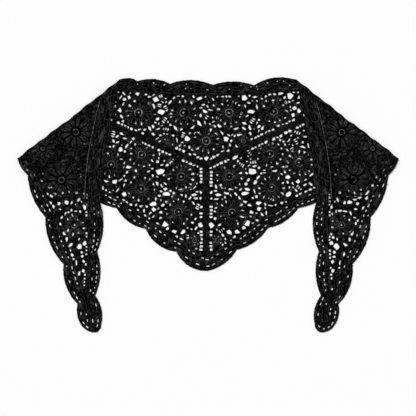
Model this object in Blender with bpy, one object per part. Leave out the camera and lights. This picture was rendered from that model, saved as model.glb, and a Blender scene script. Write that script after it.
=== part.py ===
"""Lace scarf: a shallow triangle of black cotton guipure, laid flat with both ends folded forward.

Metres, +Z up. The origin is on the surface it lies on, under the centre of its outline.
+X runs along the top edge and +Y from the hem's point towards the top edge.
The sizes below are in millimetres, as a pattern cutter would write them.
"""

import math

import bmesh
import bpy
from mathutils import Vector

MM = 0.001

# The lace wall, and the gap kept at each seam and between the two layers
CLOTH = 2.0
GAP = 0.3

# Each end is folded along a straight line from the top edge to the outer corner
FOLD_TOP = Vector((142.0, 200.0))
FOLD_CORNER = Vector((304.8, 75.0))
FOLD_SECTIONS = 6
# How far short of both ends of that line the rounded edge stops
FOLD_NICK = 1.5

# How far past the hem of the layer below the folded end stays raised, and how far it then
# takes to come down to the surface
STAYS_RAISED = 8.0
COMES_DOWN = 18.0
DOWN_SECTIONS = 4

ARC_STEP = 8.0

# Outlines run clockwise. Each row is a valley between two scallops: x, y, and how far the
# scallop that follows it stands out from the straight line to the next valley.
TOP_EDGE = (
    (-142.0, 200.0, 4.5),
    (-112.8, 197.9, 5.9),
    (-60.8, 193.6, 7.2),
    (7.2, 192.0, 6.0),
    (73.6, 191.2, 8.4),
    (142.0, 200.0, 0.0),
)
HEM = (
    (304.8, 75.0, 5.0),
    (250.7, 48.4, 6.0),
    (197.3, 21.8, 1.5),
    (144.0, -4.8, 6.4),
    (96.0, -35.7, 6.4),
    (47.2, -72.8, 31.2),
    (-47.2, -72.8, 0.0),
)
# The first rows of the hem are covered by the folded end, down to this one, and the last
# scallop is the deep one at the point
HEM_IN_SIGHT_ROW = 3
HEM_POINT_ROW = 5

# The folded end, as it lies: from the outer corner round the tip and back up to the top edge
END_EDGE = (
    (304.8, 75.0, 2.5),
    (288.0, 48.0, 6.9),
    (260.0, -19.2, 8.8),
    (230.9, -94.4, 8.3),
    (208.3, -158.4, 3.8),
    (203.0, -191.6, 3.5),
    (180.0, -203.9, 3.0),
    (170.5, -190.0, 5.5),
    (180.8, -144.8, 7.2),
    (177.6, -74.4, 8.8),
    (174.4, 8.0, 1.5),
    (166.4, 72.4, 1.5),
    (155.6, 136.4, 1.5),
    (142.0, 200.0, 0.0),
)
# The rows between which it rounds the lobe at the tip
TIP_ROW = 4
TIP_END_ROW = 8

# Where the borders meet the lace field: x, y
TOP_BORDER_SAG = 8.5
TOP_BORDER_END_Y = 183.0
HEM_BORDER_SEAM = ((0.0, -82.0), (37.5, -58.0), (86.0, -22.5), (135.0, 8.5))
HEM_BORDER_END_Y = 29.0
END_FIELD_INNER = ((178.6, 140.0), (186.0, 98.0), (198.0, 8.0), (198.5, -74.0))
END_FIELD_OUTER = ((246.0, -13.0), (217.0, -89.0))
END_FIELD_APEX = (199.0, -138.0)
INNER_SEAM_ON_FOLD = 36.0
OUTER_SEAM_ON_FOLD = 188.0

# The two-cord tape, a Y: a spine down the middle and an arm rising to each side
TAPE = 8.0
TAPE_FORK_Y = 64.6
ARM_SLOPE = math.tan(math.radians(23.6))
# How far out each arm goes under the folded end
ARM_REACH = 160.0

# The back's seam under each folded end, just out of sight of its inner edge
UNDER_FOOT = Vector((181.0, 14.0))
UNDER_BULGE = 3.0
# What is left of the scallop that this seam cuts, on the side in sight
UNDER_FOOT_BULGE = 2.2


def scallops(rows):
    """Points along a scalloped edge: each row's valley, then its scallop as a circular arc."""
    points = []
    for (x, y, bulge), (next_x, next_y, _) in zip(rows, rows[1:]):
        points += arc(Vector((x, y)), Vector((next_x, next_y)), bulge)
    return points + [Vector(rows[-1][:2])]


def arc(start, end, bulge):
    """Points from start up to end, but not end itself, standing out to the left by bulge."""
    chord = end - start
    if abs(bulge) < 0.01:
        return [start]
    left = Vector((-chord.y, chord.x)).normalized()
    radius = (chord.length**2 / 4 + bulge**2) / (2 * abs(bulge))
    half_turn = 2 * math.atan(2 * abs(bulge) / chord.length)
    count = max(2, round(2 * half_turn * radius / ARC_STEP))
    points = []
    for step in range(count):
        turn = half_turn * (2 * step / count - 1)
        across = radius * math.sin(turn) / chord.length + 0.5
        out = radius * (math.cos(turn) - math.cos(half_turn))
        points.append(start + chord * across + left * math.copysign(out, bulge))
    return points


def under_edge(y):
    """The point at height y on the back's seam under the right-hand folded end."""
    down = (FOLD_TOP.y - y) / (FOLD_TOP.y - UNDER_FOOT.y)
    bow = 4 * UNDER_BULGE * down * (1 - down)
    return Vector((FOLD_TOP.x + (UNDER_FOOT.x - FOLD_TOP.x) * down + bow, y))


def under_edge_run(top, bottom):
    count = max(1, round((top - bottom) / (3 * ARC_STEP)))
    return [under_edge(top + (bottom - top) * step / count) for step in range(count + 1)]


FOLD_ALONG = (FOLD_CORNER - FOLD_TOP).normalized()
FOLD_INWARD = Vector((FOLD_ALONG.y, -FOLD_ALONG.x))
BEND_RADIUS = (CLOTH + GAP) / 2
# Half of the bend's run, measured along the middle of the cloth
BEND_RUN = BEND_RADIUS * math.pi / 2
# From the outermost edge of the fold in to where both layers lie level
LEVEL_FROM = CLOTH / 2 + BEND_RADIUS
# The same way in the flat cloth, to the line that ends up in the middle of the bend
BEND_MIDDLE = LEVEL_FROM - BEND_RUN


def at_fold(along, inward):
    return FOLD_TOP + FOLD_ALONG * along + FOLD_INWARD * inward


def mirrored(points):
    return [Vector((-point.x, point.y)) for point in reversed(points)]


def inset(outline, by):
    """The outline, counter-clockwise, with each side moved inwards, which leaves the seams' gap."""
    area = sum(a.cross(b) for a, b in zip(outline, outline[1:] + outline[:1]))
    ring = outline if area > 0 else outline[::-1]
    moved = []
    for index, point in enumerate(ring):
        before = (point - ring[index - 1]).normalized()
        after = (ring[(index + 1) % len(ring)] - point).normalized()
        inward = Vector((-before.y - after.y, before.x + after.x))
        moved.append(point + inward * (2 * by / inward.length_squared))
    return moved


def level_below(_point):
    return 0.0


COVERED_FROM = Vector(HEM[HEM_IN_SIGHT_ROW][:2])
HEM_ALONG = (FOLD_CORNER - COVERED_FROM).normalized()
HEM_OUTWARD = Vector((HEM_ALONG.y, -HEM_ALONG.x))


def past_hem(point):
    """How far beyond the covered hem a point of the folded end lies, on either side."""
    return (Vector((abs(point.x), point.y)) - COVERED_FROM).dot(HEM_OUTWARD)


def level_above(point):
    """The underside of the folded end: on the back, then down past the hem to the surface."""
    done = min(max((past_hem(point) - STAYS_RAISED) / COMES_DOWN, 0.0), 1.0)
    return (CLOTH + GAP) * (1 + math.cos(math.pi * done)) / 2


def black_cotton(name, roughness):
    material = bpy.data.materials.new(name)
    material.use_nodes = True
    shader = material.node_tree.nodes["Principled BSDF"]
    shader.inputs["Base Color"].default_value = (0.012, 0.012, 0.013, 1.0)
    shader.inputs["Roughness"].default_value = roughness
    shader.inputs["Metallic"].default_value = 0.0
    return material


def sheet_of(outline, creases):
    """A flat mesh of the outline, in triangles, with an edge along each crease line."""
    mesh = bmesh.new()
    mesh.faces.new([mesh.verts.new((point.x, point.y, 0)) for point in outline])
    bmesh.ops.triangulate(mesh, faces=mesh.faces[:])
    for point, normal in creases:
        everything = mesh.verts[:] + mesh.edges[:] + mesh.faces[:]
        bmesh.ops.bisect_plane(
            mesh, geom=everything, dist=0.001, plane_co=point.to_3d(), plane_no=normal.to_3d()
        )
        bmesh.ops.triangulate(mesh, faces=mesh.faces[:])
    mesh.verts.index_update()
    return mesh


def close_wall(name, sheet, faces_of, roughness):
    """Makes the object: the sheet's points on both faces of the cloth, joined round the edge."""
    pairs = [faces_of(vertex.co.xy) for vertex in sheet.verts]
    points = [above for above, _ in pairs] + [below for _, below in pairs]
    count = len(pairs)
    polygons = []
    for face in sheet.faces:
        corners = [vertex.index for vertex in face.verts]
        polygons.append(corners)
        polygons.append([corner + count for corner in reversed(corners)])
        for loop in face.loops:
            if loop.edge.is_boundary:
                here = loop.vert.index
                there = loop.link_loop_next.vert.index
                polygons.append([there, here, here + count, there + count])
    sheet.free()
    data = bpy.data.meshes.new(name)
    data.from_pydata([point * MM for point in points], [], polygons)
    data.materials.append(black_cotton(name, roughness))
    data.set_sharp_from_angle(angle=math.radians(40))
    piece = bpy.data.objects.new(name, data)
    bpy.context.scene.collection.objects.link(piece)
    return piece


def lay_wall(name, outline, underside=level_below, creases=(), roughness=0.8):
    """A piece of lace that lies with its underside at the height that underside gives."""

    def faces_of(point):
        bottom = underside(point)
        return point.to_3d() + Vector((0, 0, bottom + CLOTH)), point.to_3d() + Vector((0, 0, bottom))

    close_wall(name, sheet_of(inset(outline, GAP / 2), creases), faces_of, roughness)


def both_sides(name, outline, **how):
    """The piece on the right and its mirror image on the left."""
    lay_wall("right_" + name, outline, **how)
    if "creases" in how:
        flip = Vector((-1, 1))
        how["creases"] = [(point * flip, normal * flip) for point, normal in how["creases"]]
    lay_wall("left_" + name, mirrored(outline), **how)


def lay_back():
    """The middle of the scarf, one layer: three lace fields, the Y tape and the two borders."""
    seam = under_edge_run(FOLD_TOP.y, TOP_BORDER_END_Y)
    border_line = arc(mirrored([seam[-1]])[0], seam[-1], -TOP_BORDER_SAG) + [seam[-1]]
    edge = scallops(TOP_EDGE)
    lay_wall("top_border", edge + seam[1:-1] + border_line[::-1] + mirrored(seam)[1:-1])

    half_rise = TAPE / 2 * math.sqrt(1 + ARM_SLOPE**2)

    def arm_line(side):
        start_y = TAPE_FORK_Y + side * half_rise
        return [Vector((0, start_y)), under_edge(start_y + ARM_REACH * ARM_SLOPE)]

    upper, lower = arm_line(1), arm_line(-1)
    both_sides("arm_tape", upper + lower[::-1], roughness=0.6)
    top_right = under_edge_run(TOP_BORDER_END_Y, upper[1].y)
    lay_wall("back_top_lace", border_line + top_right[1:] + upper[:1] + mirrored(top_right)[:-1])

    notch = Vector((TAPE / 2, lower[0].y + TAPE / 2 * ARM_SLOPE))
    hem_seam = [Vector(point) for point in HEM_BORDER_SEAM] + [under_edge(HEM_BORDER_END_Y)]
    foot_slope = (hem_seam[1].y - hem_seam[0].y) / (hem_seam[1].x - hem_seam[0].x)
    foot = Vector((TAPE / 2, hem_seam[0].y + TAPE / 2 * foot_slope))
    spine = [lower[0], notch, foot, hem_seam[0]] + mirrored([notch, foot])
    lay_wall("spine_tape", spine, roughness=0.6)
    side = under_edge_run(lower[1].y, HEM_BORDER_END_Y)
    both_sides("back_lace", [notch] + side + hem_seam[-2:0:-1] + [foot])

    edge_start = (UNDER_FOOT.x, UNDER_FOOT.y, UNDER_FOOT_BULGE)
    hem_edge = scallops((edge_start,) + HEM[HEM_IN_SIGHT_ROW : HEM_POINT_ROW + 1])
    hem_side = under_edge_run(HEM_BORDER_END_Y, UNDER_FOOT.y)
    both_sides("hem_border", hem_side[:-1] + hem_edge + hem_seam[1:-1])
    lobe = scallops(HEM[HEM_POINT_ROW:])
    lay_wall("hem_point", lobe + mirrored(hem_seam[1:2]) + hem_seam[:2])


def lay_under_corner(side):
    """The hidden corner of the back, under the folded end, and the rounded fold itself."""
    seam = under_edge_run(FOLD_TOP.y, UNDER_FOOT.y)
    edge_end = (UNDER_FOOT.x, UNDER_FOOT.y, 0.0)
    covered_hem = scallops(HEM[:HEM_IN_SIGHT_ROW] + (edge_end,))[::-1]
    bend_end = BEND_MIDDLE - BEND_RUN
    start, end = FOLD_NICK, (FOLD_CORNER - FOLD_TOP).length - FOLD_NICK
    bend = [at_fold(end, bend_end), at_fold(2 * start, bend_end), at_fold(start, 0.0)]
    outline = seam[1:-1] + covered_hem + bend
    creases = []
    for step in range(FOLD_SECTIONS + 1):
        run = BEND_RUN * (2 * step / FOLD_SECTIONS - 1)
        creases.append((at_fold(0, BEND_MIDDLE - run), FOLD_INWARD))

    def faces_of(point):
        along = (point - FOLD_TOP).dot(FOLD_ALONG)
        run = BEND_MIDDLE - (point - FOLD_TOP).dot(FOLD_INWARD)
        turn = max(min(run / BEND_RADIUS, math.pi / 2), -math.pi / 2)
        beyond = abs(run) - BEND_RUN if abs(run) > BEND_RUN else 0.0
        ends = []
        for radius in (BEND_RADIUS - CLOTH / 2, BEND_RADIUS + CLOTH / 2):
            inward = LEVEL_FROM + beyond - radius * math.cos(turn)
            height = CLOTH / 2 + BEND_RADIUS + radius * math.sin(turn)
            place = at_fold(along, inward)
            ends.append(Vector((side * place.x, place.y, height)))
        return ends if side > 0 else ends[::-1]

    name = "right_under_corner" if side > 0 else "left_under_corner"
    close_wall(name, sheet_of(inset(outline, GAP / 2), creases), faces_of, 0.8)


def lay_ends():
    """The folded ends, on top: inner border, lace field, outer border and the lobe at the tip."""
    creases = []
    for step in range(DOWN_SECTIONS + 1):
        out = STAYS_RAISED + COMES_DOWN * step / DOWN_SECTIONS
        creases.append((COVERED_FROM + HEM_OUTWARD * out, HEM_OUTWARD))
    how = {"underside": level_above, "creases": creases}

    start = LEVEL_FROM + GAP / 2
    fold_length = (FOLD_CORNER - FOLD_TOP).length
    corner = at_fold(fold_length - FOLD_NICK, start)
    top = at_fold(FOLD_NICK, start)
    inner_on_fold = at_fold(INNER_SEAM_ON_FOLD, start)
    outer_on_fold = at_fold(OUTER_SEAM_ON_FOLD, start)
    apex = Vector(END_FIELD_APEX)
    inner_seam = [inner_on_fold] + [Vector(point) for point in END_FIELD_INNER] + [apex]
    outer_seam = [outer_on_fold] + [Vector(point) for point in END_FIELD_OUTER] + [apex]
    waist = (Vector(END_EDGE[TIP_ROW][:2]) + Vector(END_EDGE[TIP_END_ROW][:2])) / 2

    outer_edge = [corner] + scallops(END_EDGE[: TIP_ROW + 1])[1:]
    inner_edge = scallops(END_EDGE[TIP_END_ROW:])[:-1] + [top]
    both_sides("end_outer_border", outer_edge + [waist] + outer_seam[::-1], **how)
    both_sides("end_inner_border", [waist] + inner_edge + inner_seam, **how)
    both_sides("end_lace", inner_seam[::-1] + outer_seam[:-1], **how)
    both_sides("end_tip", scallops(END_EDGE[TIP_ROW : TIP_END_ROW + 1]) + [waist])


for thing in list(bpy.data.objects):
    bpy.data.objects.remove(thing, do_unlink=True)

lay_back()
lay_under_corner(1)
lay_under_corner(-1)
lay_ends()
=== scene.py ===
import cmath
import collections
import math
import random

import bpy
import numpy as np
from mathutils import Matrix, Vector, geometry


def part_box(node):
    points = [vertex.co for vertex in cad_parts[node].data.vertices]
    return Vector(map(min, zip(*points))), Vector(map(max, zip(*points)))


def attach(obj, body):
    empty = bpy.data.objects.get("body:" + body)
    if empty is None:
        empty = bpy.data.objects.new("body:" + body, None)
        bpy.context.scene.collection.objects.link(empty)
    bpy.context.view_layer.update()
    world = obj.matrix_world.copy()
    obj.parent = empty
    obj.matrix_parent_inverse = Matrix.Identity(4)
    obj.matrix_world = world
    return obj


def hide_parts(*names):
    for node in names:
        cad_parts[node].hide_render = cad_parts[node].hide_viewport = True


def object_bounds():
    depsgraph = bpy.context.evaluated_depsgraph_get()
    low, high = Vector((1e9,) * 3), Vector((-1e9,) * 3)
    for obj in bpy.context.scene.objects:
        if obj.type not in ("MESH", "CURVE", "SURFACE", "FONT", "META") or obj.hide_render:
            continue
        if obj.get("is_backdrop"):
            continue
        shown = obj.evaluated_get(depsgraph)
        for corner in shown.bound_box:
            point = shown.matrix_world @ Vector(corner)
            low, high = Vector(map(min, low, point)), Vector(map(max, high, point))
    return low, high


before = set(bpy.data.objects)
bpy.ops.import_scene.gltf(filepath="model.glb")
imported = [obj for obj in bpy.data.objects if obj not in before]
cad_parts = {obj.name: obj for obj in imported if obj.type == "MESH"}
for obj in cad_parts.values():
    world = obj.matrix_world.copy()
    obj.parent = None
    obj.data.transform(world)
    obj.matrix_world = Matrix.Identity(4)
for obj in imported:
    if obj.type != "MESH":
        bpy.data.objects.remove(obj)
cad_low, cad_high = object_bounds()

# ---------------------------------------------------------------------------------------
# Top border. The long straight side of the scarf: black cotton worked in close rows along
# a scalloped edge, from one tip over both folds to the other tip.
#
# All the lace is drawn flat, as it was made, in millimetres. A place on it is one complex
# number, x + y times 1j, and lay() then folds the two ends over on to the back.
# ---------------------------------------------------------------------------------------
MM = 0.001
# How thick the cloth is, and the gap between it and an end that is folded over it
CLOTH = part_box("spine_tape")[1].z / MM
GAP = (cad_high.z - cad_low.z) / MM - 2 * CLOTH

# Each end is folded along a straight line from the top edge to the outer corner
FOLD_TOP = 142.0 + 200.0j
FOLD_CORNER = 304.8 + 75.0j
FOLD_ALONG = (FOLD_CORNER - FOLD_TOP) / abs(FOLD_CORNER - FOLD_TOP)
FOLD_INWARD = -1j * FOLD_ALONG
BEND_RADIUS = (CLOTH + GAP) / 2
BEND_RUN = BEND_RADIUS * math.pi / 2
LEVEL_FROM = CLOTH / 2 + BEND_RADIUS
BEND_MIDDLE = LEVEL_FROM - BEND_RUN
# Nothing opens this close to the middle of a bend
BEND_REACH = 4.5
# The folded end stays raised this far past the hem below it, and then comes down
STAYS_RAISED = 8.0
COMES_DOWN = 18.0
COVERED_FROM = 144.0 - 4.8j
HEM_OUTWARD = -1j * (FOLD_CORNER - COVERED_FROM) / abs(FOLD_CORNER - COVERED_FROM)

# Each row is a valley between two scallops: x, y, and how far the next scallop stands out
TOP_EDGE = (
    (-142.0, 200.0, 4.5),
    (-112.8, 197.9, 5.9),
    (-60.8, 193.6, 7.2),
    (7.2, 192.0, 6.0),
    (73.6, 191.2, 8.4),
    (142.0, 200.0, 0.0),
)
# The inner edge of the folded end, as it lies, from the tip up to the top edge
END_INNER_EDGE = (
    (180.8, -144.8, 7.2),
    (177.6, -74.4, 8.8),
    (174.4, 8.0, 1.5),
    (166.4, 72.4, 1.5),
    (155.6, 136.4, 1.5),
    (142.0, 200.0, 0.0),
)
# Where the border meets the field: the back's line, then down the folded end as it lies
TOP_SEAM_END = 145.0 + 184.0j
TOP_SEAM_SAG = 8.0
SEAM_ON_FOLD = 36.0
END_INNER_SEAM = (177.5 + 140.0j, 184.0 + 98.0j, 193.0 + 8.0j, 191.5 - 74.0j, 197.0 - 138.0j)
# The middle line of the lobe at the tip, as it lies
TIP_MIDDLE = (195.0 - 151.0j, 191.0 - 170.0j, 189.0 - 186.0j)

# The thread's radius, and the distance between its thick and thin places
THREAD = 0.7
HALF_STITCH = 1.6
# Steps between the points of a line that others are measured from, and of an outline
LINE_STEP = 0.8
OUTLINE_STEP = 2.0
# The close work under the threads: how high its upper and lower faces are, how far the edge
# of an opening is rounded, and how far in from the scarf's edge it starts
FACES = (1.45, 0.55)
LIP = 0.6
SHELL_INSET = 0.6
# Rows of raised thread, as distances in from the edge
TOP_DEPTH = 23.0
TOP_ROWS = (0.9, 4.0, 9.6, 15.8, 21.0)
# Rows of slots: distance in from the edge, and how far on the first slot lies, in slots
TOP_SLOTS = ((6.2, 0.0), (13.1, 0.5))
SLOT_PITCH = 8.9
BLACK = "#3e3e40"
BLACK_WORN = "#4e4e50"
# The deep parts of the work are painted this near black, as painted shade
BLACK_PAINTED_SHADE = "#020202"

dice = random.Random(7)


def scallops(rows):
    """Points along a scalloped edge: each row's valley, then the arc that follows it."""
    points = []
    for (x, y, bulge), (next_x, next_y, _) in zip(rows, rows[1:]):
        start = complex(x, y)
        chord = complex(next_x, next_y) - start
        half_turn = 2 * math.atan(2 * bulge / abs(chord))
        turn = np.linspace(-half_turn, half_turn, max(12, round(abs(chord))))[:-1]
        across = 0.5 + np.sin(turn) / (2 * math.sin(half_turn))
        out = (np.cos(turn) - math.cos(half_turn)) / (2 * math.sin(half_turn))
        points.append(start + chord * (across + 1j * out))
    return np.concatenate(points + [[complex(*rows[-1][:2])]])


def mirrored(points):
    """The same line on the other side of the scarf, run the other way."""
    return -np.conj(np.asarray(points)[::-1])


def eased(points, rounds=4):
    """The line with its corners cut off again and again, which rounds them. Its ends stay."""
    points = np.asarray(points, complex)
    for _ in range(rounds):
        near = points[:-1] * 0.75 + points[1:] * 0.25
        far = points[:-1] * 0.25 + points[1:] * 0.75
        points = np.concatenate([points[:1], np.stack([near, far], 1).ravel(), points[-1:]])
    return points


def steps_along(points):
    """How far along the line each of its points lies."""
    return np.concatenate([[0.0], np.cumsum(np.abs(np.diff(points)))])


def at_marks(points, marks):
    """The places at these distances along the line."""
    steps = steps_along(points)
    return np.interp(marks, steps, points.real) + 1j * np.interp(marks, steps, points.imag)


def evenly(points, step):
    """The line's points again, evenly spaced by about the step."""
    length = steps_along(points)[-1]
    return at_marks(points, np.linspace(0, length, max(2, round(length / step) + 1)))


def from_fold(flat):
    """Real part: how far along the right-hand fold. Imaginary part: how far past it."""
    right = np.abs(flat.real) + 1j * flat.imag
    return (right - FOLD_TOP) * np.conj(FOLD_ALONG)


def unfolded(plan):
    """Where a place on the right-hand folded end, as it lies, was on the flat lace."""
    plan = np.asarray(plan, complex)
    past = ((plan - FOLD_TOP) * np.conj(FOLD_ALONG)).imag
    return plan + 2 * (BEND_MIDDLE + past) * FOLD_INWARD


def lay(flat, height):
    """Folds the lace: x, y and z of flat places at heights above the lace's underside."""
    turned = from_fold(flat)
    run = BEND_MIDDLE + turned.imag
    turn = np.clip(run / BEND_RADIUS, -math.pi / 2, math.pi / 2)
    beyond = np.maximum(np.abs(run) - BEND_RUN, 0)
    radius = LEVEL_FROM - height
    inward = LEVEL_FROM + beyond - radius * np.cos(turn)
    # The creases aren't quite straight
    waves = np.sin(turned.real / 9) + np.sin(turned.real / 3.7 + 2) + np.sin(turned.real / 21)
    inward = inward - 0.5 * waves * np.exp(-((inward / 6) ** 2))
    plan = FOLD_TOP + FOLD_ALONG * (turned.real - 1j * inward)
    past_hem = ((plan - COVERED_FROM) * np.conj(HEM_OUTWARD)).real
    down = np.clip((past_hem - STAYS_RAISED) / COMES_DOWN, 0, 1)
    drop = (CLOTH + GAP) * (1 - np.cos(math.pi * down)) / 2
    z = LEVEL_FROM + radius * np.sin(turn) - np.where(run > 0, drop, 0)
    return np.where(flat.real < 0, -1, 1) * plan.real, plan.imag, z


def thread(line, radius=THREAD, height=CLOTH / 2):
    """A length of thread: points half a stitch apart, thick and thin by turns."""
    line = np.asarray(line, complex)
    length = steps_along(line)[-1]
    marks = np.linspace(0, length, max(2, round(length / HALF_STITCH) + 1))
    past = np.abs(BEND_MIDDLE + from_fold(at_marks(line, marks)).imag)
    # The bend is tight, so a thread has twice the points where it goes round it
    between = (marks[:-1] + marks[1:]) / 2
    bent = (past[:-1] < 2 * BEND_RUN) | (past[1:] < 2 * BEND_RUN)
    marks = np.sort(np.concatenate([marks, between[bent]]))
    points = at_marks(line, marks)
    beads = 1 + 0.12 * np.cos(math.pi * (np.arange(len(points)) + dice.randint(0, 1)))
    beads += [dice.uniform(-0.15, 0.15) for _ in beads]
    return points, radius * beads, np.full(len(points), height)


def bumpy(strand):
    """The outermost thread, with the small bumps of the stitches that turn round the edge."""
    points, radii, heights = strand
    return points, radii * np.array([dice.uniform(0.7, 1.7) for _ in radii]), heights


def row_threads(row, insets, wander, radius=THREAD):
    """A bumpy thread along the edge, and plain ones along the rows further in."""
    edge_thread = bumpy(thread(row(insets[0])))
    return [edge_thread] + [thread(row(inset, wander), radius) for inset in insets[1:]]


def seam_feet(edge, seam):
    """For each point of the edge, in order, the place on the seam that it is worked from."""
    nearest = np.abs(edge[:, None] - seam[None, :]).argmin(axis=1)
    return seam[np.maximum.accumulate(nearest)]


def rows_between(edge, feet, depth):
    """A function that gives the border's row at a distance in from the edge."""
    window = 13
    ends = [np.full(window // 2, feet[0]), feet, np.full(window // 2, feet[-1])]
    feet = np.convolve(np.concatenate(ends), np.full(window, 1 / window), "valid")

    def row(inset, wander=0.0):
        marks = steps_along(edge)
        waves = [(dice.uniform(12, 40), dice.uniform(0, 6)) for _ in range(4)]
        astray = sum(np.sin(marks / length + phase) for length, phase in waves) * wander / 2
        return edge + (feet - edge) * ((inset + astray) / depth)

    return row


def inside(places, outline):
    """Whether each place is inside a closed outline."""
    within = np.zeros(len(places), bool)
    for here, there in zip(outline, np.roll(outline, -1)):
        if here.imag != there.imag:
            crossing = (here.imag > places.imag) != (there.imag > places.imag)
            share = (places.imag - here.imag) / (there.imag - here.imag)
            within ^= crossing & (places.real < here.real + (there.real - here.real) * share)
    return within


def nearest_on(line, places):
    """The nearest of a line's points to each place."""
    return line[np.abs(places[:, None] - line[None, :]).argmin(axis=1)]


# What an opening is to be: its middle, half its length, half its width, the angle that it
# lies at, half the width of the bars round it, and its shape
Site = collections.namedtuple("Site", "middle long wide slant bar shape")
CROOKED, SQUARE, CURVED = 0, 1, 2
# How far the ends of a curved one turn in, as a share of half its length
BEND = 0.25
# Openings with less room are left out, and so are the shortest sides of an outline
LEAST_ROOM = 0.35
LEAST_SIDE = 0.45
NEIGHBOURS = 14


def openings_at(sites, walls=()):
    """The openings of the close work, as pairs of outlines: its edge, and the lip round it.

    Two openings that are near share the room between them.
    """
    middles = np.array([site.middle for site in sites])
    longs, wides, slants, bars, shapes = np.array([site[1:] for site in sites]).T
    weights = (longs + wides) / 2 + 1.2
    apart = middles[None, :] - middles[:, None]
    distances = np.abs(apart) + np.where(np.eye(len(sites)), 1e9, 0)
    near = np.argsort(distances, axis=1)[:, :NEIGHBOURS]
    rows = np.arange(len(sites))[:, None]
    shares = weights[:, None] / (weights[:, None] + weights[near])
    limits = [(distances[rows, near] * shares - bars[:, None], np.angle(apart[rows, near]))]
    for line, room in walls:
        away = nearest_on(line, middles) - middles
        limits.append(((np.abs(away) - room)[:, None], np.angle(away)[:, None]))
    limit = np.concatenate([pair[0] for pair in limits], axis=1)
    facing = np.concatenate([pair[1] for pair in limits], axis=1)
    made = []
    for number, middle in enumerate(middles):
        long, wide, slant = longs[number] + LIP, wides[number] + LIP, slants[number]
        if limit[number].min() < LEAST_ROOM:
            continue
        if shapes[number] == SQUARE:
            corners = [long + 0.6j * wide, 0.8 * long + 1j * wide]
            corners += [-corner.conjugate() for corner in corners[::-1]]
            corners += [-corner for corner in corners]
        else:
            count = dice.choice((4, 4, 5, 5) if long < 3 else (4, 5, 5, 6))
            turns = [2 * math.pi * (k + dice.uniform(-0.3, 0.3)) / count for k in range(count)]
            spread = 1.17 - 0.02 * count
            corners = [complex(long * math.cos(turn), wide * math.sin(turn)) for turn in turns]
            corners = [corner * spread * dice.uniform(0.82, 1.2) for corner in corners]
        if shapes[number] == CURVED:
            corners = [corner + 1j * BEND * long * (corner.real / long) ** 2 for corner in corners]
        corners = [corner * cmath.exp(1j * slant) for corner in corners]
        nearest = limit[number] + LIP < max(map(abs, corners))
        corners = cut_off(corners, limit[number][nearest] + LIP, facing[number][nearest])
        pairs = zip(corners, corners[1:] + corners[:1])
        corners = [corner for corner, after in pairs if abs(corner - after) > LEAST_SIDE]
        if len(corners) < 3:
            continue
        lip = middle + np.array(corners)
        centre = lip.mean()
        reach = np.abs(lip - centre)
        if reach.min() > LIP + 0.3:
            made.append((centre + (lip - centre) * (1 - LIP / reach), lip))
    return made


def cut_off(corners, reaches, turns):
    """The corners of a shape round zero, cut off past each straight line."""
    for reach, turn in zip(reaches, turns):
        toward = cmath.exp(-1j * turn)
        past = [(corner * toward).real - reach for corner in corners]
        if not corners or max(past) <= 0:
            continue
        kept = []
        for k, corner in enumerate(corners):
            after = (k + 1) % len(corners)
            if past[k] <= 0:
                kept.append(corner)
            if (past[k] <= 0) != (past[after] <= 0):
                share = past[k] / (past[k] - past[after])
                kept.append(corner + (corners[after] - corner) * share)
        corners = kept
    return corners


def bend_places(outline):
    """Rows of points along the folds, so that the close work bends there in small steps."""
    runs = np.arange(-3, 4) * BEND_RUN / 2
    along = np.arange(-12.0, 230.0, 3.0)
    right = FOLD_TOP + FOLD_ALONG * (along[:, None] + 1j * (runs - BEND_MIDDLE)[None, :])
    places = np.concatenate([right.ravel(), -np.conj(right.ravel())])
    return places[inside(places, outline)]


def near_bend(places):
    """Whether each place is on a fold's bend or close to it."""
    return np.abs(BEND_MIDDLE + from_fold(places).imag) < BEND_REACH


def joined(start, count):
    """The sides of a closed outline whose points are numbered from the start."""
    return [(start + k, start + (k + 1) % count) for k in range(count)]


def close_work(outline, openings, walls=(), spacing=6.0):
    """Triangles that fill an outline round its openings, down to any walls that they keep to.

    It gives their points, the triangles, the opening whose lip each point is on, or -1, and
    each point's number before triangles were made, which keeps a lip's points in order.
    """
    points = [outline] + list(walls)
    chains = []
    start = 0
    for line in points:
        sides = joined(start, len(line))
        chains += sides if line is outline else sides[:-1]
        start += len(line)
    owners = [np.full(start, -1)]
    for number, (_, lip) in enumerate(openings):
        chains += joined(start, len(lip))
        owners.append(np.full(len(lip), number))
        points.append(lip)
        start += len(lip)
    low, high = outline.real.min(), outline.real.max()
    rows = np.arange(outline.imag.min(), outline.imag.max(), spacing)
    grid = (np.arange(low, high, spacing)[None, :] + 1j * rows[:, None]).ravel()
    grid = grid[inside(grid, outline)]
    grid = grid[np.abs(grid - nearest_on(np.concatenate(points), grid)) > spacing / 3]
    for _, lip in openings:
        grid = grid[np.abs(grid - lip.mean()) > np.abs(lip - lip.mean()).max()]
    grid = np.concatenate([grid[~near_bend(grid)], bend_places(outline)])
    points = np.concatenate(points + [grid])
    owners = np.concatenate(owners + [np.full(len(grid), -1)])
    corners = [(point.real, point.imag) for point in points]
    found, _, faces, sources, _, _ = geometry.delaunay_2d_cdt(corners, chains, [], 0, 1e-5)
    places = np.array([complex(*corner) for corner in found])
    first = np.array([source[0] if source else -1 for source in sources])
    owner = np.where(first < 0, -1, owners[first])
    faces = np.array(faces)
    a, b, c = places[faces].T
    area = (np.conj(b - a) * (c - a)).imag
    faces[area < 0] = faces[area < 0][:, ::-1]
    same = (owner[faces] == owner[faces][:, :1]).all(axis=1) & (owner[faces][:, 0] >= 0)
    middle = places[faces].mean(axis=1)
    keep = ~same & (np.abs(area) > 1e-7) & inside(middle, outline)
    return places, faces[keep], owner, first


def values_of(items, what, kind, width=1):
    """One value, or a row of them, from each item of a mesh."""
    found = np.empty(len(items) * width, kind)
    items.foreach_get(what, found)
    return found if width == 1 else found.reshape(-1, width)


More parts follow.
